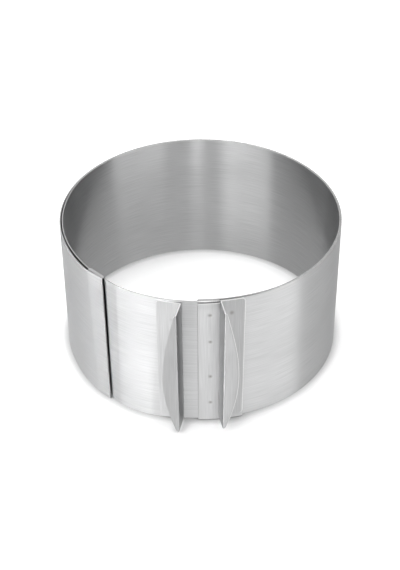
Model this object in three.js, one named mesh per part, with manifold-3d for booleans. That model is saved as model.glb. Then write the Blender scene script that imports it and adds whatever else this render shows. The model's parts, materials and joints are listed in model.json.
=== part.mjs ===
// Adjustable cake ring: one long steel strip wound into almost two turns. The inner end carries a hook that
// hangs over the outer turn and slides along it, so pulling the two handles apart widens the ring.
import * as THREE from "three";
import { mergeVertices } from "three/addons/utils/BufferGeometryUtils.js";
import Module from "manifold-3d";

const wasm = await Module();
wasm.setup();

// Sheet and ring, in millimetres, at the setting shown: close to the smallest diameter.
const sheet = 0.6;
const play = 0.3; // between neighbouring sheets
const bandHeight = 85;
const ringRadius = 81.5; // outside of the outer turn
const foldRadius = 0.6; // of the hooks over the rim, at the middle of the sheet

// Angles are in degrees seen from above, with the front of the ring at -90 and its right side at 0.
// The strip winds clockwise from its outer end to its inner end.
const outerEndAngle = -130.2;
const innerEndAngle = -91.2;
const windStep = 2.5;
const dipStart = 337; // the strip leaves the outer turn here and passes under its own outer end
const dipEnd = 390;

// Outer end: a flat tab that springs outwards, held only by the ear over the rim.
const earWidth = 9; // degrees of the wind
const earReach = 2.45; // across the rim, between the middles of the two legs
const earDrop = 6;
const springAngle = 18;
const springTop = 0.8;
const springBottom = 2.3;

// Slide: hook over the outer turn, with a plate welded to its outer leg.
const hookStart = -83.3;
const hookEnd = -91.5;
const hookFoot = 0.6;
const plateStart = -73.5;
const plateFoot = 0.5;
const plateTop = 85.4;
const plateStep = 3;

// Handles: flange, upright web and half-moon lip, bent from one blank.
const handleHeight = 82.8;
const flangeWidth = 13.8;
const flangeCorner = 3;
const webDepth = 10;
const lipWidth = 8.5;
const lipTip = 0.4;
const bendRadius = 0.8;
const leftHandleAngle = -102.2;
const leftHandleFoot = 0.8;
const rightHandleAngle = -78.5;
const rightHandleFoot = 2.7;

// Spot welds: a dimple in front and a low nib behind, which meets the next sheet.
const weldRadius = 1.3;
const dimpleDepth = 0.15;
const nibHeight = 0.25;
const plateWeldAngle = -86.5;
const plateWelds = [13.8, 33.3, 58.4, 77];
const handleWelds = [11.5, 31, 56, 75.5];

// Middle radii of the sheets, from the inner turn out to the right handle.
const stackStep = sheet + play;
const outerTurn = ringRadius - sheet / 2;
const hookInside = outerTurn - stackStep;
const hookOutside = outerTurn + stackStep;
const plateRadius = hookOutside + stackStep;
const turnPitch = 2 * stackStep;

const radians = THREE.MathUtils.degToRad;
const { lerp, smoothstep } = THREE.MathUtils;
const upward = new THREE.Vector3(0, 0, 1);

function outward(angle) {
  return new THREE.Vector3(Math.cos(radians(angle)), Math.sin(radians(angle)), 0);
}

// A point on the middle of a sheet, with the direction that the front of the sheet faces there.
function station(angle, radius, height, tilt = 0) {
  const out = outward(angle);
  const point = out.clone().multiplyScalar(radius).setZ(height);
  const facing = out.multiplyScalar(Math.cos(tilt)).addScaledVector(upward, Math.sin(tilt));
  return { point, facing };
}

// Values from one number to another, in equal steps no longer than the given one.
function steps(from, to, longest) {
  const count = Math.max(1, Math.ceil(Math.abs(to - from) / longest));
  return Array.from({ length: count + 1 }, (_, i) => lerp(from, to, i / count));
}

// A closed sheet from rows of stations, each row above or after the last. A row may be shorter than the one
// before it, which leaves a tab on the edge.
function sheetGeometry(rows) {
  const positions = [];
  const indices = [];
  const edges = new Map();
  const firstOfRow = [];
  for (const row of rows) {
    firstOfRow.push(positions.length / 6);
    for (const { point, facing } of row) {
      for (const side of [0.5, -0.5]) {
        positions.push(...point.clone().addScaledVector(facing, side * sheet));
      }
    }
  }
  const addQuad = (a, b, c, d) => indices.push(a, b, c, a, c, d);
  for (let i = 0; i + 1 < rows.length; i++) {
    for (let j = 0; j + 1 < Math.min(rows[i].length, rows[i + 1].length); j++) {
      const low = firstOfRow[i] + j;
      const high = firstOfRow[i + 1] + j;
      const corners = [low, high, high + 1, low + 1];
      addQuad(...corners.map((k) => 2 * k));
      addQuad(...corners.map((k) => 2 * k + 1).reverse());
      corners.forEach((from, k) => {
        const to = corners[(k + 1) % 4];
        if (!edges.delete(`${to},${from}`)) edges.set(`${from},${to}`, [from, to]);
      });
    }
  }
  for (const [from, to] of edges.values()) {
    addQuad(2 * to, 2 * from, 2 * from + 1, 2 * to + 1);
  }
  const geometry = new THREE.BufferGeometry();
  geometry.setAttribute("position", new THREE.Float32BufferAttribute(positions, 3));
  geometry.setIndex(indices);
  return geometry;
}

// Section of a hook over the rim: up the outside, over and down the inside, as places across and along it.
function hookSection(reach, innerFoot) {
  const section = [];
  const foldSteps = 3;
  const folds = [
    { centre: foldRadius, start: 0 },
    { centre: reach - foldRadius, start: Math.PI / 2 },
  ];
  for (const { centre, start } of folds) {
    for (const turn of steps(0, Math.PI / 2, Math.PI / 2 / foldSteps)) {
      const tilt = start + turn;
      const across = centre - foldRadius * Math.cos(tilt);
      section.push({ across, height: bandHeight + foldRadius * Math.sin(tilt), tilt });
    }
  }
  section.push({ across: reach, height: innerFoot, tilt: Math.PI });
  return section;
}

// Middle radius of the strip at an angle of wind from its outer end.
function stripRadius(wind, height) {
  const dip = turnPitch * smoothstep(wind, dipStart, dipEnd);
  const spring = Math.max(0, 1 - wind / springAngle) ** 2;
  const rise = Math.min(1, height / bandHeight);
  return outerTurn - dip + spring * lerp(springBottom, springTop, rise);
}

function bandGeometry() {
  const wound = 720 - (innerEndAngle - outerEndAngle);
  const earWinds = steps(0, earWidth, windStep);
  const winds = [...earWinds, ...steps(earWidth, wound, windStep).slice(1)];
  const rows = [0, bandHeight].map((height) =>
    winds.map((wind) => station(outerEndAngle - wind, stripRadius(wind, height), height)),
  );
  for (const { across, height, tilt } of hookSection(earReach, bandHeight - earDrop).slice(1)) {
    rows.push(
      earWinds.map((wind) =>
        station(outerEndAngle - wind, stripRadius(wind, bandHeight) - across, height, tilt),
      ),
    );
  }
  return sheetGeometry(rows);
}

function slideHookGeometry() {
  const angles = steps(hookStart, hookEnd, plateStep);
  const section = hookSection(hookOutside - hookInside, hookFoot);
  section.unshift({ across: 0, height: hookFoot, tilt: 0 });
  return sheetGeometry(
    section.map(({ across, height, tilt }) =>
      angles.map((angle) => station(angle, hookOutside - across, height, tilt)),
    ),
  );
}

function slidePlateGeometry() {
  const angles = steps(plateStart, hookEnd, plateStep);
  const rows = [plateFoot, plateTop].map((height) =>
    angles.map((angle) => station(angle, plateRadius, height)),
  );
  return weldMarked(sheetGeometry(rows), plateRadius, plateWeldAngle, plateWelds);
}

// Bent blank of a handle, with the flange square to +X at the given distance from the ring's axis and the
// web on the +Y side. The flat outline has rounded flange corners and a half-moon lip.
function handleGeometry(flangeDistance) {
  const half = flangeWidth / 2;
  const lipDistance = flangeDistance + webDepth;
  const plan = new THREE.Path();
  plan.moveTo(flangeDistance, -half);
  plan.lineTo(flangeDistance, half - bendRadius);
  plan.absarc(flangeDistance + bendRadius, half - bendRadius, bendRadius, Math.PI, Math.PI / 2, true);
  plan.lineTo(lipDistance - bendRadius, half);
  plan.absarc(lipDistance - bendRadius, half - bendRadius, bendRadius, Math.PI / 2, 0, true);
  plan.lineTo(lipDistance, half - lipWidth);

  const blank = plan.getLength();
  const flangeEnd = flangeWidth - bendRadius;
  const webStart = flangeEnd + (bendRadius * Math.PI) / 2;
  const webEnd = webStart + webDepth - 2 * bendRadius;
  const lipRise = blank - webEnd - lipTip;
  const lipRadius = (handleHeight ** 2 / 4 + lipRise ** 2) / (2 * lipRise);

  const cornerRows = steps(0, Math.PI / 2, Math.PI / 8).map((turn) => flangeCorner * (1 - Math.cos(turn)));
  const midRows = steps(flangeCorner, handleHeight - flangeCorner, 6.5).slice(1, -1);
  const topRows = cornerRows.map((height) => handleHeight - height).reverse();
  const rows = [...cornerRows, ...midRows, ...topRows].map((height) => {
    const toEnd = Math.min(height, handleHeight - height, flangeCorner);
    const cut = flangeCorner - Math.sqrt(flangeCorner ** 2 - (flangeCorner - toEnd) ** 2);
    const offMiddle = height - handleHeight / 2;
    const lip = lipTip + Math.sqrt(lipRadius ** 2 - offMiddle ** 2) - (lipRadius - lipRise);
    const places = [
      ...steps(cut, flangeEnd, flangeWidth / 3),
      ...steps(flangeEnd, webStart, (webStart - flangeEnd) / 3).slice(1),
      ...steps(webEnd, webEnd + lip, lip / 6),
    ];
    return places.map((place) => {
      const share = Math.min(1, place / blank);
      const at = plan.getPoint(share);
      const along = plan.getTangent(share);
      const point = new THREE.Vector3(at.x, at.y, height);
      return { point, facing: new THREE.Vector3(-along.y, along.x, 0) };
    });
  });
  return weldMarked(sheetGeometry(rows), flangeDistance, 0, handleWelds);
}

function solidOf(geometry) {
  const bare = geometry.clone();
  bare.deleteAttribute("normal");
  bare.deleteAttribute("uv");
  const merged = mergeVertices(bare, 1e-4);
  const vertProperties = merged.attributes.position.array;
  const triVerts = new Uint32Array(merged.index.array);
  return new wasm.Manifold(new wasm.Mesh({ numProp: 3, vertProperties, triVerts }));
}

function geometryOf(solid) {
  const { vertProperties, triVerts } = solid.getMesh();
  const geometry = new THREE.BufferGeometry();
  geometry.setAttribute("position", new THREE.BufferAttribute(vertProperties, 3));
  geometry.setIndex(new THREE.BufferAttribute(triVerts, 1));
  return geometry;
}

// A short round stub along the outward direction at an angle, between two distances from the axis.
function weldStub(angle, height, near, far) {
  const stub = new THREE.CylinderGeometry(weldRadius, weldRadius, far - near, 12);
  stub.rotateZ(Math.PI / 2);
  stub.translate((near + far) / 2, 0, height);
  return solidOf(stub.rotateZ(radians(angle)));
}

function weldMarked(geometry, distance, angle, heights) {
  const front = distance + sheet / 2;
  const back = distance - sheet / 2;
  let body = solidOf(geometry);
  for (const height of heights) {
    body = body.subtract(weldStub(angle, height, front - dimpleDepth, front + sheet));
    body = body.add(weldStub(angle, height, back - nibHeight, distance - dimpleDepth));
  }
  return geometryOf(body);
}

function steelMesh(name, geometry, color, roughness) {
  geometry.computeVertexNormals();
  const material = new THREE.MeshStandardMaterial({ color, roughness, metalness: 1 });
  const mesh = new THREE.Mesh(geometry, material);
  mesh.name = name;
  return mesh;
}

const band = steelMesh("band", bandGeometry(), 0xc6c7c8, 0.36);

const leftHandle = steelMesh("left_handle", handleGeometry(outerTurn + stackStep), 0xd2d3d4, 0.42);
leftHandle.rotation.z = radians(leftHandleAngle);
leftHandle.position.z = leftHandleFoot;

const slideHook = steelMesh("slide_hook", slideHookGeometry(), 0xcbcccd, 0.38);
const slidePlate = steelMesh("slide_plate", slidePlateGeometry(), 0xcbcccd, 0.4);

const rightHandle = steelMesh("right_handle", handleGeometry(plateRadius + stackStep), 0xd2d3d4, 0.42);
rightHandle.rotation.z = radians(rightHandleAngle);
rightHandle.position.z = rightHandleFoot;
rightHandle.scale.y = -1;

const ring = new THREE.Group().add(band, leftHandle);
const slide = new THREE.Group().add(slideHook, slidePlate, rightHandle);
const cakeRing = new THREE.Group().add(ring, slide);

// The origin is at the middle of the footprint, on the surface that the ring stands on.
const box = new THREE.Box3().setFromObject(cakeRing, true);
const middle = box.getCenter(new THREE.Vector3());
cakeRing.position.set(-middle.x, -middle.y, -box.min.z);

export default cakeRing;
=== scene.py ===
import json
import math

import bpy
from mathutils import Matrix


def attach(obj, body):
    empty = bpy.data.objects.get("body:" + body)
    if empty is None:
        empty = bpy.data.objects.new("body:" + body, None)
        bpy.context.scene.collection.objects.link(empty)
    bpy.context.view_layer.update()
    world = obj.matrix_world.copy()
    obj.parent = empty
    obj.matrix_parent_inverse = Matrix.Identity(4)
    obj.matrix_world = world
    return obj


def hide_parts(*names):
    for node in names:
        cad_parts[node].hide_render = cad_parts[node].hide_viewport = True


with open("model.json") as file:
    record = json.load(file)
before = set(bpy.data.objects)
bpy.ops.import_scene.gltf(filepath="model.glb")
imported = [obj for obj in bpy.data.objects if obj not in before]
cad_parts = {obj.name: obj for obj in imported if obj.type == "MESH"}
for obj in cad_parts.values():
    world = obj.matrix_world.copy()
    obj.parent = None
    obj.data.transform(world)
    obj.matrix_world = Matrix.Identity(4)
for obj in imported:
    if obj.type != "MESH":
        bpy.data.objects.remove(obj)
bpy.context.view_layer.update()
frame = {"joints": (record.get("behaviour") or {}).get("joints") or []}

mm = 0.001
slideJoint = frame["joints"][0]
axisX, axisY = slideJoint["pos_m"][:2]  # the ring's own axis

# one gauge of steel for everything
sheet = {
    "thickness": 0.6 * mm,
    "play": 0.3 * mm,    # between welded sheets
    "edgeRound": 0.2 * mm,
    "roundSegments": 3,
    "roundAngle": 50,    # edges that turn by more degrees than this are rounded
    "foldRadius": 0.6 * mm,
    "foldSteps": 8,
}
stackStep = sheet["thickness"] + sheet["play"]


# small helpers

def lerp(a, b, share):
    return a + (b - a) * share


def smooth(value, low, high):
    share = min(1.0, max(0.0, (value - low) / (high - low)))
    return share * share * (3 - 2 * share)


def steps(start, end, longest):
    count = max(1, math.ceil(abs(end - start) / longest - 1e-9))  # a whole count stays whole
    return [lerp(start, end, i / count) for i in range(count + 1)]


def onRing(angle, radius, height):
    turn = math.radians(angle)
    return (axisX + radius * math.cos(turn), axisY + radius * math.sin(turn), height)


# Brushed steel, from fine streaks and broad patches in the grain map, which is in metres.
steelGrain = {
    "turn": 0.25,  # of the gloss, as a share of a full turn
    "streakDetail": 3,
    "streakShare": 0.7,  # of the step from dark to light
    "patchDetail": 2,
    "patchShare": 0.3,
    "patchSeed": 5,  # after the seed of the streaks
    "seedShift": (0.37, 0.61),
}


def node(tree, kind, **values):
    made = tree.nodes.new(kind)
    for name, value in values.items():
        setattr(made, name, value)
    return made


def stretchedNoise(tree, along, across, detail, seed):
    uv = node(tree, "ShaderNodeUVMap", uv_map="grain")
    stretch = node(tree, "ShaderNodeMapping")
    shiftU, shiftV = steelGrain["seedShift"]
    stretch.inputs["Location"].default_value = (seed * shiftU, seed * shiftV, 0)
    stretch.inputs["Scale"].default_value = (along, across, 1)
    noise = node(tree, "ShaderNodeTexNoise", noise_dimensions="2D")
    noise.inputs["Scale"].default_value = 1
    noise.inputs["Detail"].default_value = detail
    tree.links.new(uv.outputs["UV"], stretch.inputs["Vector"])
    tree.links.new(stretch.outputs["Vector"], noise.inputs["Vector"])
    return noise.outputs["Fac"]


def ranged(tree, source, low, high, fromLow=0.3, fromHigh=0.7):
    span = node(tree, "ShaderNodeMapRange")
    limits = {"From Min": fromLow, "From Max": fromHigh, "To Min": low, "To Max": high}
    for name, value in limits.items():
        span.inputs[name].default_value = value
    tree.links.new(source, span.inputs["Value"])
    return span.outputs["Result"]


def brushedSteel(name, look):
    material = bpy.data.materials.new(name)
    material.use_nodes = True
    tree = material.node_tree
    shader = tree.nodes["Principled BSDF"]
    shader.inputs["Metallic"].default_value = 1
    shader.inputs["Anisotropic"].default_value = look["anisotropy"]
    shader.inputs["Anisotropic Rotation"].default_value = steelGrain["turn"]
    shader.inputs["Specular Tint"].default_value = (*look["grazingTint"], 1)

    patchSeed = look["seed"] + steelGrain["patchSeed"]
    fine = stretchedNoise(tree, *look["streaks"], steelGrain["streakDetail"], look["seed"])
    broad = stretchedNoise(tree, *look["patches"], steelGrain["patchDetail"], patchSeed)

    tone = node(tree, "ShaderNodeMix", data_type="RGBA")
    tone.inputs["A"].default_value = (*look["dark"], 1)
    tone.inputs["B"].default_value = (*look["light"], 1)
    share = node(tree, "ShaderNodeMath", operation="ADD")
    tree.links.new(ranged(tree, fine, 0, steelGrain["streakShare"]), share.inputs[0])
    tree.links.new(ranged(tree, broad, 0, steelGrain["patchShare"]), share.inputs[1])
    tree.links.new(share.outputs[0], tone.inputs["Factor"])

    # heat tint left round the spot welds
    mark = node(tree, "ShaderNodeAttribute", attribute_name="weldTint")
    tinted = node(tree, "ShaderNodeMix", data_type="RGBA")
    tinted.inputs["B"].default_value = (*look["weldTint"], 1)
    tree.links.new(mark.outputs["Fac"], tinted.inputs["Factor"])
    tree.links.new(tone.outputs["Result"], tinted.inputs["A"])
    tree.links.new(tinted.outputs["Result"], shader.inputs["Base Color"])

    rough = node(tree, "ShaderNodeMath", operation="ADD")
    middle, spread = look["rough"], look["roughSpread"]
    tree.links.new(ranged(tree, fine, middle - spread, middle + spread), rough.inputs[0])
    tree.links.new(ranged(tree, broad, -spread / 2, spread / 2), rough.inputs[1])
    tree.links.new(rough.outputs[0], shader.inputs["Roughness"])

    bump = node(tree, "ShaderNodeBump")
    bump.inputs["Strength"].default_value = look["bump"]
    bump.inputs["Distance"].default_value = look["lineDepth"]
    tree.links.new(fine, bump.inputs["Height"])
    tree.links.new(bump.outputs["Normal"], shader.inputs["Normal"])

    tangent = node(tree, "ShaderNodeTangent", direction_type="UV_MAP", uv_map="grain")
    tree.links.new(tangent.outputs["Tangent"], shader.inputs["Tangent"])
    return material


bandLook = {
    "dark": (0.46, 0.463, 0.466), "light": (0.57, 0.572, 0.575),
    "weldTint": (0.3, 0.29, 0.28), "grazingTint": (0.5, 0.5, 0.5),
    "rough": 0.31, "roughSpread": 0.02, "anisotropy": 1.0,
    "streaks": (50, 2400), "patches": (9, 27), "seed": 1,  # per metre, along the strip and up it
    "bump": 0.4, "lineDepth": 0.02 * mm,
}
# slide and handles are brushed upright
slideLook = dict(bandLook, streaks=(2400, 50), patches=(60, 20), seed=3)
handleLook = dict(slideLook, dark=(0.43, 0.432, 0.434), light=(0.53, 0.532, 0.535), seed=2)
# painted shade: the hook is a darker copy of the slide's steel, so its crown and the strip of leg above
# the plate read dark
shadedHookLook = dict(slideLook, dark=(0.34, 0.34, 0.34), light=(0.42, 0.42, 0.42), seed=7)
edgeLook = dict(bandLook, dark=(0.38, 0.38, 0.38), light=(0.5, 0.5, 0.5),
                rough=0.42, anisotropy=0.0, streaks=(900, 2600), seed=4)
# painted highlight: a lighter copy of the edge steel, for the bright lines along the handles' rounded
# edges
paintedHighlightLook = dict(edgeLook, dark=(0.64, 0.64, 0.64), light=(0.76, 0.76, 0.76), seed=6)

bandSteel = brushedSteel("bandSteel", bandLook)
handleSteel = brushedSteel("handleSteel", handleLook)
slideSteel = brushedSteel("slideSteel", slideLook)
shadedHookSteel = brushedSteel("shadedHookSteel", shadedHookLook)
cutEdge = brushedSteel("cutEdge", edgeLook)
paintedHighlightEdge = brushedSteel("paintedHighlightEdge", paintedHighlightLook)
print("materials: brushed steel for the band, the handles and the slide, and its cut edges")


# A sheet piece: rows of points on the middle of the sheet, made thick and rounded at its edges.

def sheetPiece(name, rows, grain, material, edge, tints=None, edgeRound=sheet["edgeRound"],
               paintedHighlightColumns=(0, 0)):
    points = []
    grains = []
    firstOf = []
    for i, row in enumerate(rows):
        firstOf.append(len(points))
        points.extend(row)
        grains.extend(grain[i])
    faces = []
    edgeOrHighlight = []  # 1 on the columns at the start and the end of the rows, which take the edge steel, a painted highlight on the handles
    for i in range(len(rows) - 1):
        columns = min(len(rows[i]), len(rows[i + 1])) - 1
        for j in range(columns):
            low = firstOf[i] + j
            high = firstOf[i + 1] + j
            faces.append((low, low + 1, high + 1, high))
            edgeOrHighlight.append(int(j < paintedHighlightColumns[0] or j >= columns - paintedHighlightColumns[1]))
    mesh = bpy.data.meshes.new(name)
    mesh.from_pydata(points, [], faces)
    mesh.polygons.foreach_set("material_index", edgeOrHighlight)
    uv = mesh.uv_layers.new(name="grain")
    for loop in mesh.loops:
        uv.data[loop.index].uv = grains[loop.vertex_index]
    tint = mesh.attributes.new("weldTint", "FLOAT", "POINT")
    if tints:
        tint.data.foreach_set("value", tints)
    mesh.shade_smooth()
    mesh.materials.append(material)
    mesh.materials.append(edge)
    piece = bpy.data.objects.new(name, mesh)
    bpy.context.scene.collection.objects.link(piece)
    thick = piece.modifiers.new("thickness", "SOLIDIFY")
    thick.thickness = sheet["thickness"]
    thick.offset = 0
    thick.use_even_offset = True
    thick.use_quality_normals = True
    thick.material_offset_rim = 1
    rounded = piece.modifiers.new("edgeRound", "BEVEL")
    rounded.width = edgeRound
    rounded.segments = sheet["roundSegments"]
    rounded.limit_method = "ANGLE"
    rounded.angle_limit = math.radians(sheet["roundAngle"])
    rounded.use_clamp_overlap = True
    rounded.material = 1
    weighted = piece.modifiers.new("flatFaces", "WEIGHTED_NORMAL")
    weighted.keep_sharp = True
    return piece


# the tint of a spot weld ends a little inside its dent, and more sharply
tintShape = {"narrow": 1.1, "power": 4}


def weldDent(dent, across, along):
    # depth and tint of the nearest spot weld, from places across and along the sheet
    nearest = min(math.hypot(across - dent["across"], along - at) for at in dent["along"])
    reach = nearest / dent["radius"]
    depth = dent["depth"] * math.exp(-reach * reach)
    tint = dent["tint"] * math.exp(-(reach * tintShape["narrow"]) ** tintShape["power"])
    return depth, tint


# Band: one strip wound clockwise, from the outer end at the front left to the inner end at the slide.
# Angles are degrees seen from above, with the front of the ring at -90 and its right side at 0.
band = {
    "height": 85 * mm,
    "outerRadius": 81.5 * mm,
    "outerEnd": -130.2,
    "innerEnd": -91.2,
    "angleStep": 1.0,
    "heightStep": 5 * mm,
    # the turn springs out to a crease near its free end, and a flat tab beyond it carries the ear
    "freeEnd": {
        "tabAngle": 9,
        "creaseAngle": 0.12,  # half the width of the crease
        "creaseSlant": 3.5,   # degrees that the crease comes nearer the end at its foot
        "bulgeAngle": 24,
        "bulgePower": 1.4,
        "bulgeTop": 1.0 * mm,
        "bulgeFoot": 2.0 * mm,
        "endTop": 0.8 * mm,
        "endFoot": 2.1 * mm,
        "endBack": 0.7,   # degrees that the end edge stops short at its top
        "endSlant": 1.5,  # degrees that it reaches further at its foot
        "earReachEnd": 2.15 * mm,
        "earReachRoot": 2.6 * mm,
        "earDrop": 6 * mm,
        "earStep": 1 * mm,
    },
    # how far the strip lies inside the outer turn, by angle of wind: (from, to, change)
    "dips": [
        (348, 364, 1.0 * mm),    # passes under its own outer end
        (370, 382, 0.35 * mm),   # leaves room for the hook at the far limit
        (412, 440, -0.65 * mm),  # lies against the outer turn
        (646, 668, 0.7 * mm),    # makes room for the hook at rest
    ],
    # the strip beside the free end leans out, most at its foot
    "lean": {"at": 346, "before": 26, "after": 33, "foot": 2.3 * mm, "rim": 0.3 * mm},
    # and has a slight fold line there
    "foldLine": {"at": 354, "half": 0.7, "spread": 5, "rise": 0.15 * mm},
}
freeEnd, lean, foldLine = band["freeEnd"], band["lean"], band["foldLine"]
outerTurn = band["outerRadius"] - sheet["thickness"] / 2
plateRadius = outerTurn + 2 * stackStep


def shareUp(height):
    return min(1.0, height / band["height"])


def arcLength(wind):
    return math.radians(wind) * outerTurn


def creaseAt(height):
    return freeEnd["tabAngle"] - freeEnd["creaseSlant"] * (1 - shareUp(height))


def stripRadius(wind, height):
    rise = shareUp(height)
    inset = sum(change * smooth(wind, start, end) for start, end, change in band["dips"])
    past = wind - lean["at"]
    reach = lean["after"] if past > 0 else lean["before"]
    near = math.cos(min(1.0, abs(past) / reach) * math.pi / 2) ** 2
    leaning = near * lerp(lean["foot"], lean["rim"], rise)
    sprung = 1 - (wind - creaseAt(height)) / freeEnd["bulgeAngle"]
    free = min(1.0, max(0.0, sprung)) ** freeEnd["bulgePower"]
    bulge = free * lerp(freeEnd["bulgeFoot"], freeEnd["bulgeTop"], rise)
    fold = foldLine["rise"] * max(0.0, 1 - abs(wind - foldLine["at"]) / foldLine["spread"]) ** 2
    return outerTurn - inset + leaning + bulge + fold


def stripPoint(wind, height, inset=0.0):
    # columns of the mesh follow the slant of the crease and are upright again beyond the bulge
    tab = freeEnd["tabAngle"]
    crease = creaseAt(height)
    if wind >= tab:
        wind += (crease - tab) * max(0.0, 1 - (wind - tab) / freeEnd["bulgeAngle"])
        return onRing(band["outerEnd"] - wind, stripRadius(wind, height) - inset, height)
    rise = shareUp(height)
    endAngle = band["outerEnd"] - freeEnd["endBack"] + freeEnd["endSlant"] * (1 - rise)
    endRadius = outerTurn + lerp(freeEnd["endFoot"], freeEnd["endTop"], rise)
    end = onRing(endAngle, endRadius - inset, height)
    root = onRing(band["outerEnd"] - crease, stripRadius(crease, height) - inset, height)
    return tuple(lerp(a, b, wind / tab) for a, b in zip(end, root))


def foldOver(reach, innerFoot, rim, legStep):
    # section of a hook over the rim: (inset as a share of the reach, height)
    radius = sheet["foldRadius"]
    share = radius / reach
    turns = steps(0, math.pi / 2, math.pi / 2 / sheet["foldSteps"])
    section = [(share * (1 - math.cos(turn)), rim + radius * math.sin(turn)) for turn in turns]
    section += [(1 - share * (1 - math.sin(turn)), rim + radius * math.cos(turn)) for turn in turns]
    return section + [(1.0, height) for height in steps(rim, innerFoot, legStep)[1:]]


def makeBand():
    wound = 2 * 360 - (band["innerEnd"] - band["outerEnd"])
    tab = freeEnd["tabAngle"]
    crease = freeEnd["creaseAngle"]
    tabWinds = steps(0, tab - crease, band["angleStep"]) + [tab]
    fold, half = foldLine["at"], foldLine["half"]
    winds = tabWinds + steps(tab + crease, fold - half, band["angleStep"]) + [fold]
    winds += steps(fold + half, wound, band["angleStep"])
    rows = []
    grain = []
    for height in steps(0, band["height"], band["heightStep"]):
        rows.append([stripPoint(wind, height) for wind in winds])
        grain.append([(arcLength(wind), height) for wind in winds])
    top = band["height"]
    ear = foldOver(freeEnd["earReachEnd"], top - freeEnd["earDrop"], top, freeEnd["earStep"])
    for part, height in ear[1:]:
        row = []
        for wind in tabWinds:
            reach = lerp(freeEnd["earReachEnd"], freeEnd["earReachRoot"], wind / tab)
            x, y, _ = stripPoint(wind, top, part * reach)
            row.append((x, y, height))
        rows.append(row)
        grain.append([(arcLength(wind), height + part * mm) for wind in tabWinds])
    return sheetPiece("band_strip", rows, grain, bandSteel, cutEdge)


bandStrip = makeBand()
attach(bandStrip, "ring")
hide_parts("band")
print("band: strip wound, ear folded over the rim")


# Slide: a hook over the outer turn and a plate spot-welded to its outer leg.
hook = {
    "start": -83.3,
    "end": -91.5,
    "foot": 0.6 * mm,
    "inside": outerTurn - 0.65 * mm,  # its two legs, close on the outer turn
    "outside": outerTurn + 0.95 * mm,
    "angleStep": 0.5,
    "legStep": 2 * mm,
}
plate = {
    "start": -73.9,
    "end": -91.5,
    "foot": 0.4 * mm,
    "top": 85.1 * mm,
    "angleStep": 0.35,
    "heightStep": 0.5 * mm,
    "flare": 0.45 * mm,      # the top stands off the hook
    "flareHeight": 5 * mm,
    "flareFrom": -82.5,
    "flareFull": -84,
    "weld": {
        "across": math.radians(-86.65) * plateRadius,
        "along": [13.5 * mm, 32.9 * mm, 58 * mm, 76.6 * mm],
        "radius": 1.05 * mm,
        "depth": 0.18 * mm,
        "tint": 0.9,
    },
}


def makeHook():
    angles = steps(hook["start"], hook["end"], hook["angleStep"])
    reach = hook["outside"] - hook["inside"]
    section = [(0, height) for height in steps(hook["foot"], band["height"], hook["legStep"])[:-1]]
    section += foldOver(reach, hook["foot"], band["height"], hook["legStep"])
    rows = []
    grain = []
    travelled = 0.0
    for i, (part, height) in enumerate(section):
        if i:
            travelled += math.hypot((part - section[i - 1][0]) * reach, height - section[i - 1][1])
        rows.append([onRing(angle, hook["outside"] - part * reach, height) for angle in angles])
        grain.append([(math.radians(angle) * hook["outside"], travelled) for angle in angles])
    return sheetPiece("slide_hook_sheet", rows, grain, shadedHookSteel, cutEdge)


def plateStandoff(angle, height):
    flare = plate["flare"] * smooth(height, plate["top"] - plate["flareHeight"], plate["top"])
    return flare * smooth(-angle, -plate["flareFrom"], -plate["flareFull"])


def makePlate():
    angles = steps(plate["start"], plate["end"], plate["angleStep"])
    rows = []
    grain = []
    tints = []
    for height in steps(plate["foot"], plate["top"], plate["heightStep"]):
        row = []
        for angle in angles:
            across = math.radians(angle) * plateRadius
            depth, tint = weldDent(plate["weld"], across, height)
            row.append(onRing(angle, plateRadius - depth + plateStandoff(angle, height), height))
            tints.append(tint)
        rows.append(row)
        grain.append([(math.radians(angle) * plateRadius, height) for angle in angles])
    return sheetPiece("slide_plate_sheet", rows, grain, slideSteel, cutEdge, tints)


slideHook = makeHook()
slidePlate = makePlate()
for piece, cadNode in ((slideHook, "slide_hook"), (slidePlate, "slide_plate")):
    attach(piece, "slide")
    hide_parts(cadNode)
print("slide: hook and welded plate")


# Handles: flange, upright web and half-moon lip, bent from one blank.
handle = {
    "height": 82.7 * mm,
    "flangeWidth": 13.6 * mm,
    "flangeCorner": 2 * mm,
    "flangeGap": 0.05 * mm,
    "webDepth": 10.9 * mm,
    "lipWidth": 8.2 * mm,
    "lipTip": 1.2 * mm,
    "lipBelly": 0.893,     # below 1 the lip is widest a little under its middle
    "tipRound": 1.1 * mm,
    "edgeRound": 0.28 * mm,
    "edgeRoll": 1.0 * mm,  # the lip's free edge rolls back over this width
    "rollShare": 0.4,      # but over no more than this share of the lip
    "rollSteps": 5,
    "bendRadius": 0.35 * mm,
    "bendSteps": 8,
    "cornerSteps": 8,
    "heightStep": 0.7 * mm,
    "sheetStep": 0.6 * mm,
    "left": {
        "angle": -103.4, "shift": 1.7 * mm, "foot": 1.1 * mm, "seat": outerTurn, "side": 1,
        "leansAt": -104,  # stands on the strip where it leans out
        "lipOpen": 6,     # degrees short of a square bend
        "rollDepth": 0,
        "paintedHighlightColumns": (0, 0),
        "tilt": -0.008,   # off the upright
        "weld": {
            "across": 8.2 * mm, "along": [11 * mm, 31 * mm, 52 * mm, 71 * mm],
            "radius": 0.9 * mm, "depth": 0.1 * mm, "tint": 0.25,
        },
    },
    "right": {
        "angle": -78.5, "shift": 0, "foot": 3.9 * mm, "seat": plateRadius, "side": -1,
        "leansAt": None,
        "lipOpen": 9,
        "rollDepth": 0.15 * mm,
        "paintedHighlightColumns": (1, 2),  # columns at the free edges of flange and lip, in the lighter edge steel as a painted highlight
        "tilt": 0.01,
        "weld": {
            "across": 7.7 * mm, "along": [10 * mm, 30 * mm, 54 * mm, 73.9 * mm],
            "radius": 1.4 * mm, "depth": 0.2 * mm, "tint": 0.9,
        },
    },
}
flangeSeat = sheet["thickness"] + handle["flangeGap"]


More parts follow.
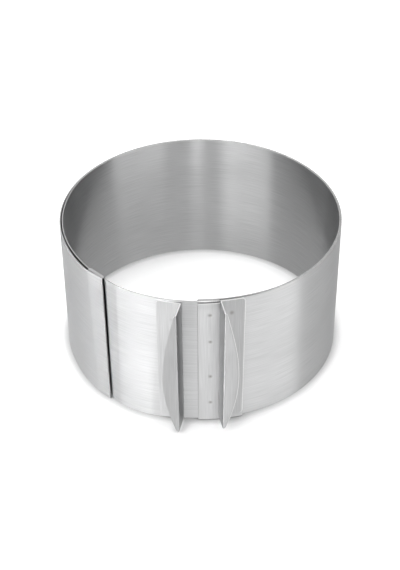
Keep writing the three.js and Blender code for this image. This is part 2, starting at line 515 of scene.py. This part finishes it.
def handlePlan(distance, lipOpen):
    # stretches of the bent blank in plan, each with its length and a function from a place on it to a
    # point, x outwards and y along the ring
    half = handle["flangeWidth"] / 2
    bend = handle["bendRadius"]
    flange = handle["flangeWidth"] - bend
    web = handle["webDepth"] - 2 * bend
    far = distance + handle["webDepth"]
    lipTurn = math.pi / 2 - math.radians(lipOpen)

    def firstBend(s):
        turn = s / bend
        return distance + bend * (1 - math.cos(turn)), half - bend + bend * math.sin(turn)

    def secondBend(s):
        turn = s / bend
        return far - bend + bend * math.sin(turn), half - bend + bend * math.cos(turn)

    def lip(s):
        x, y = secondBend(bend * lipTurn)
        return x + s * math.cos(lipTurn), y - s * math.sin(lipTurn)
    return [
        (flange, lambda s: (distance, s - half)),
        (bend * math.pi / 2, firstBend),
        (web, lambda s: (distance + bend + s, half)),
        (bend * lipTurn, secondBend),
        (handle["lipWidth"] - bend, lip),
    ]


def endCut(height, radius):
    # what a round corner takes off the handle at this height
    toEnd = min(height, handle["height"] - height, radius)
    return radius - math.sqrt(radius ** 2 - (radius - toEnd) ** 2)


def handleHeights():
    corner = handle["flangeCorner"]
    turns = steps(0, math.pi / 2, math.pi / 2 / handle["cornerSteps"])
    cornerRows = [corner * (1 - math.cos(turn)) for turn in turns]
    middleRows = steps(corner, handle["height"] - corner, handle["heightStep"])[1:-1]
    return cornerRows + middleRows + [handle["height"] - height for height in reversed(cornerRows)]


def leanOut(place, height):
    if place["leansAt"] is None:
        return 0.0
    return stripRadius(band["outerEnd"] + 360 - place["leansAt"], height) - outerTurn


def planPoint(plan, s):
    for length, at in plan:
        if s <= length:
            return at(s)
        s -= length
    return at(length)


def makeHandle(name, place):
    plan = handlePlan(place["seat"] + flangeSeat, place["lipOpen"])
    lengths = [length for length, _ in plan]
    flange, quarter, web = lengths[:3]
    blank = sum(lengths)
    lipRoot = flange + quarter + web
    lipRise = blank - lipRoot - handle["lipTip"]
    flangeCount = math.ceil(flange / handle["sheetStep"])
    lipCount = math.ceil((blank - lipRoot) / handle["sheetStep"])
    rollCount = handle["rollSteps"]
    turn = math.radians(place["angle"])
    outX, outY = math.cos(turn), math.sin(turn)
    rows = []
    grain = []
    tints = []
    for height in handleHeights():
        # places along the blank at this height
        share = height / handle["height"]
        lip = handle["lipTip"] + lipRise * math.sin(math.pi * share ** handle["lipBelly"])
        lip -= endCut(height, handle["tipRound"])
        roll = min(handle["edgeRoll"], lip * handle["rollShare"])
        freeEdge = lipRoot + lip
        cut = endCut(height, handle["flangeCorner"])
        places = [lerp(cut, flange, i / flangeCount) for i in range(flangeCount + 1)]
        places += steps(flange, flange + quarter, quarter / handle["bendSteps"])[1:]
        places += steps(flange + quarter, lipRoot, handle["sheetStep"])[1:]
        places += [lerp(lipRoot, freeEdge - roll, i / lipCount) for i in range(1, lipCount + 1)]
        places += [lerp(freeEdge - roll, freeEdge, i / rollCount) for i in range(1, rollCount + 1)]

        standing = height + place["foot"]
        leaning = leanOut(place, standing)
        sideways = place["tilt"] * (height - handle["height"] / 2)
        row = []
        for s in places:
            out, along = planPoint(plan, s)
            depth, tint = weldDent(place["weld"], s, height) if s < flange else (0.0, 0.0)
            rolled = max(0.0, 1 - (freeEdge - s) / roll)
            depth += place["rollDepth"] * roll / handle["edgeRoll"] * rolled ** 2
            out += leaning - depth
            along = along * place["side"] + place["shift"] + sideways
            row.append((axisX + out * outX - along * outY, axisY + out * outY + along * outX, standing))
            tints.append(tint)
        rows.append(row)
        grain.append([(s, height) for s in places])
    return sheetPiece(name, rows, grain, handleSteel, paintedHighlightEdge, tints, handle["edgeRound"],
                      place["paintedHighlightColumns"])


for side, body in (("left", "ring"), ("right", "slide")):
    piece = makeHandle(side + "_handle_sheet", handle[side])
    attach(piece, body)
    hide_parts(side + "_handle")
print("handles: both bent and in place")


# Studio: pale floor, white surroundings, soft lamps, camera at the photograph's angle.
studio = {
    "floorSize": 6,
    "floorDrop": 0.05 * mm,  # keeps it clear of the feet of the sheets
    "floorColour": (0.92, 0.92, 0.92),
    "floorRough": 0.9,
    "floorGloss": 0.1,
    "floorGlow": 0.3,
    "glowReach": 0.02,      # the glow fades where walls stand closer than this
    "contactReach": 0.006,  # and the floor itself darkens close to the sheets
    "mirrorInside": 0.65,   # the floor as the metal shows it, inside the ring and round it; the lower level inside is painted shade
    "mirrorOutside": 1.00,
    "mirrorEdge": (0.079, 0.084),
    "worldFill": 0.5,
}
# light tent that only the metal sees, with softboxes on its wall: azimuths, fades and slants in degrees,
# foot and top in metres, glow against a white floor
tent = {
    "radius": 1.5,
    "columns": 720,
    # its wall is two rings, each with its own unit of glow
    "rings": {
        "light_strips": {"foot": 0, "top": 0.1, "rows": 2, "unit": 20},
        "light_wall": {"foot": 0.1, "top": 2.4, "rows": 46, "unit": 1},
    },
    "softboxes": {
        "backLeft": {
            "from": 145, "to": 183, "fadeIn": 60, "fadeOut": 1,
            "foot": 0, "top": 0.1, "glow": 19,
        },
        "leftBank": {
            "from": 183, "to": 241, "fadeIn": 1, "fadeOut": 3,
            "foot": 0, "top": 0.1, "glow": 22.8,
        },
        "tabStrip": {
            "from": 183, "to": 192, "fadeIn": 1, "fadeOut": 4,
            "foot": 0, "top": 0.1, "glow": 7.5,
        },
        "leftStrip": {
            "from": 201.5, "to": 212, "fadeIn": 1, "fadeOut": 8,
            "foot": 0, "top": 0.1, "glow": 15,
        },
        "leftFront": {
            "from": 212, "to": 252, "fadeIn": 1, "fadeOut": 1,
            "foot": 0.4, "top": 2.4, "glow": 6,
            "slantIn": -20, "slantOut": -7,  # of its edges, from foot to top
        },
        "frontFill": {
            "from": 240, "to": 299, "fadeIn": 3, "fadeOut": 1,
            "foot": 0.4, "top": 2.4, "glow": 2.3,
        },
        "frontStrip": {
            "from": 268, "to": 277, "fadeIn": 4, "fadeOut": 2,
            "foot": 0, "top": 2.4, "glow": 3.2,
        },
        "rightFront": {
            "from": 299, "to": 346, "fadeIn": 1, "fadeOut": 1,
            "foot": 0, "top": 2.4, "glow": 3.3,
        },
        "rightBank": {
            "from": -35, "to": 155, "fadeIn": 30, "fadeOut": 30,
            "foot": 0, "top": 0.1, "glow": 6.5,
        },
        "backFill": {
            "from": 53, "to": 133, "fadeIn": 1, "fadeOut": 1,
            "foot": 0.4, "top": 2.4, "glow": 1.4,
        },
    },
}
# these light only the floor
lamps = {
    "leftSoftbox": {"place": (-0.9, -0.75, 0.75), "aim": (0, 0, 0.04), "size": (0.7, 0.9), "power": 9},
    "topSoftbox": {"place": (0.2, 0.3, 1.4), "aim": (0, 0, 0), "size": (1.2, 1.2), "power": 12},
}
camera = {
    "place": (-0.00063, -0.62211, 0.52301),
    "tilt": 52.011,
    "roll": -0.43,
    "lens": 83.4,
    "sensor": 36,
}


def shownRay(tree):
    # 1 for what the camera sees directly, in metal or through glass
    path = node(tree, "ShaderNodeLightPath")
    both = node(tree, "ShaderNodeMath", operation="MAXIMUM")
    every = node(tree, "ShaderNodeMath", operation="MAXIMUM")
    tree.links.new(path.outputs["Is Camera Ray"], both.inputs[0])
    tree.links.new(path.outputs["Is Glossy Ray"], both.inputs[1])
    tree.links.new(both.outputs[0], every.inputs[0])
    tree.links.new(path.outputs["Is Transmission Ray"], every.inputs[1])
    return every.outputs[0]


def floorMaterial():
    material = bpy.data.materials.new("paleFloor")
    material.use_nodes = True
    tree = material.node_tree
    shader = tree.nodes["Principled BSDF"]
    shader.inputs["Roughness"].default_value = studio["floorRough"]
    shader.inputs["Specular IOR Level"].default_value = studio["floorGloss"]
    # painted contact shade: ambient occlusion darkens the floor's colour close to the sheets
    contact = node(tree, "ShaderNodeAmbientOcclusion")
    contact.inputs["Distance"].default_value = studio["contactReach"]
    contact.inputs["Color"].default_value = (*studio["floorColour"], 1)
    tree.links.new(contact.outputs["Color"], shader.inputs["Base Color"])

    # a little glow of its own lifts it to white, except close to the ring, where it fades as painted
    # shade
    openness = node(tree, "ShaderNodeAmbientOcclusion")
    openness.inputs["Distance"].default_value = studio["glowReach"]
    shown = node(tree, "ShaderNodeMath", operation="MULTIPLY")
    tree.links.new(shownRay(tree), shown.inputs[0])
    tree.links.new(openness.outputs["AO"], shown.inputs[1])
    strength = node(tree, "ShaderNodeMath", operation="MULTIPLY")
    strength.inputs[1].default_value = studio["floorGlow"]
    tree.links.new(shown.outputs[0], strength.inputs[0])
    glow = node(tree, "ShaderNodeEmission")
    tree.links.new(strength.outputs[0], glow.inputs["Strength"])
    both = node(tree, "ShaderNodeAddShader")
    tree.links.new(shader.outputs[0], both.inputs[0])
    tree.links.new(glow.outputs[0], both.inputs[1])

    # the metal shows it as a glow of its own, even round the ring and lower inside it as painted shade
    # from the walls
    place = node(tree, "ShaderNodeTexCoord")
    fromAxis = node(tree, "ShaderNodeVectorMath", operation="LENGTH")
    tree.links.new(place.outputs["Object"], fromAxis.inputs[0])
    mirrored = node(tree, "ShaderNodeEmission")
    level = ranged(tree, fromAxis.outputs["Value"], studio["mirrorInside"], studio["mirrorOutside"],
                   *studio["mirrorEdge"])
    tree.links.new(level, mirrored.inputs["Strength"])
    path = node(tree, "ShaderNodeLightPath")
    seen = node(tree, "ShaderNodeMixShader")
    tree.links.new(path.outputs["Is Glossy Ray"], seen.inputs[0])
    tree.links.new(both.outputs[0], seen.inputs[1])
    tree.links.new(mirrored.outputs[0], seen.inputs[2])
    tree.links.new(seen.outputs[0], tree.nodes["Material Output"].inputs["Surface"])
    return material


def makeFloor():
    half = studio["floorSize"] / 2
    corners = [(-half, -half, 0), (half, -half, 0), (half, half, 0), (-half, half, 0)]
    mesh = bpy.data.meshes.new("floor")
    mesh.from_pydata(corners, [], [(0, 1, 2, 3)])
    mesh.materials.append(floorMaterial())
    floor = bpy.data.objects.new("floor", mesh)
    bpy.context.scene.collection.objects.link(floor)
    floor.location = (axisX, axisY, -studio["floorDrop"])


def makeWorld():
    world = bpy.data.worlds.new("studio")
    world.use_nodes = True
    tree = world.node_tree
    background = tree.nodes["Background"]
    background.inputs["Color"].default_value = (1, 1, 1, 1)
    strength = node(tree, "ShaderNodeMapRange")
    strength.inputs["To Min"].default_value = studio["worldFill"]
    strength.inputs["To Max"].default_value = 1
    tree.links.new(shownRay(tree), strength.inputs["Value"])
    tree.links.new(strength.outputs["Result"], background.inputs["Strength"])
    bpy.context.scene.world = world


def softboxShare(box, azimuth, height):
    if not box["foot"] <= height < box["top"]:
        return 0.0
    rise = (height - box["foot"]) / (box["top"] - box["foot"])
    start = box["from"] + box.get("slantIn", 0) * rise
    width = box["to"] + box.get("slantOut", 0) * rise - start
    into = (azimuth - start + 90) % 360 - 90  # degrees past its first edge
    begun = smooth(into, -box["fadeIn"] / 2, box["fadeIn"] / 2)
    ended = smooth(into, width - box["fadeOut"] / 2, width + box["fadeOut"] / 2)
    return begun * (1 - ended)


def glowMaterial(name, unit):
    material = bpy.data.materials.new(name)
    material.use_nodes = True
    tree = material.node_tree
    tree.nodes.remove(tree.nodes["Principled BSDF"])
    emission = node(tree, "ShaderNodeEmission")
    emission.inputs["Color"].default_value = (unit, unit, unit, 1)
    level = node(tree, "ShaderNodeAttribute", attribute_name="glow")
    tree.links.new(level.outputs["Fac"], emission.inputs["Strength"])
    tree.links.new(emission.outputs[0], tree.nodes["Material Output"].inputs["Surface"])
    return material


def makeTentRing(name, foot, top, rows, unit):
    columns = tent["columns"]
    azimuths = [360 * i / columns for i in range(columns)]
    heights = steps(foot, top, (top - foot) / rows)
    points = [onRing(azimuth, tent["radius"], height) for height in heights for azimuth in azimuths]
    faces = []
    glows = []  # one for each face
    for j in range(rows):
        middle = (heights[j] + heights[j + 1]) / 2
        for i, azimuth in enumerate(azimuths):
            low, beside = j * columns + i, j * columns + (i + 1) % columns
            faces.append((low, beside, beside + columns, low + columns))
            glow = sum(box["glow"] * softboxShare(box, azimuth + 180 / columns, middle)
                       for box in tent["softboxes"].values())
            glows.append(glow / unit)
    mesh = bpy.data.meshes.new(name)
    mesh.from_pydata(points, [], faces)
    mesh.attributes.new("glow", "FLOAT", "FACE").data.foreach_set("value", glows)
    mesh.materials.append(glowMaterial(name, unit))
    wall = bpy.data.objects.new(name, mesh)
    bpy.context.scene.collection.objects.link(wall)
    wall.visible_camera = False
    wall.visible_diffuse = False
    wall.visible_shadow = False


def makeLamp(name, place, aim, size, power):
    data = bpy.data.lights.new(name, "AREA")
    data.shape = "RECTANGLE"
    data.size, data.size_y = size
    data.energy = power
    lamp = bpy.data.objects.new(name, data)
    bpy.context.scene.collection.objects.link(lamp)
    lamp.location = place
    x, y, z = (a - b for a, b in zip(aim, place))
    lamp.rotation_euler = (math.pi / 2 + math.atan2(z, math.hypot(x, y)), 0, math.atan2(-x, y))
    lamp.visible_glossy = False


def makeCamera():
    data = bpy.data.cameras.new("camera")
    data.lens = camera["lens"]
    data.sensor_width = camera["sensor"]
    view = bpy.data.objects.new("camera", data)
    bpy.context.scene.collection.objects.link(view)
    view.location = camera["place"]
    tilt = Matrix.Rotation(math.radians(camera["tilt"]), 3, "X")
    roll = Matrix.Rotation(math.radians(camera["roll"]), 3, "Z")
    view.rotation_euler = (tilt @ roll).to_euler()
    bpy.context.scene.camera = view


makeFloor()
makeWorld()
for name, ring in tent["rings"].items():
    makeTentRing(name, **ring)
for name, lamp in lamps.items():
    makeLamp(name, **lamp)
makeCamera()
bpy.context.scene.view_settings.view_transform = "Standard"
print("studio: floor, world, light tent, lamps and camera")
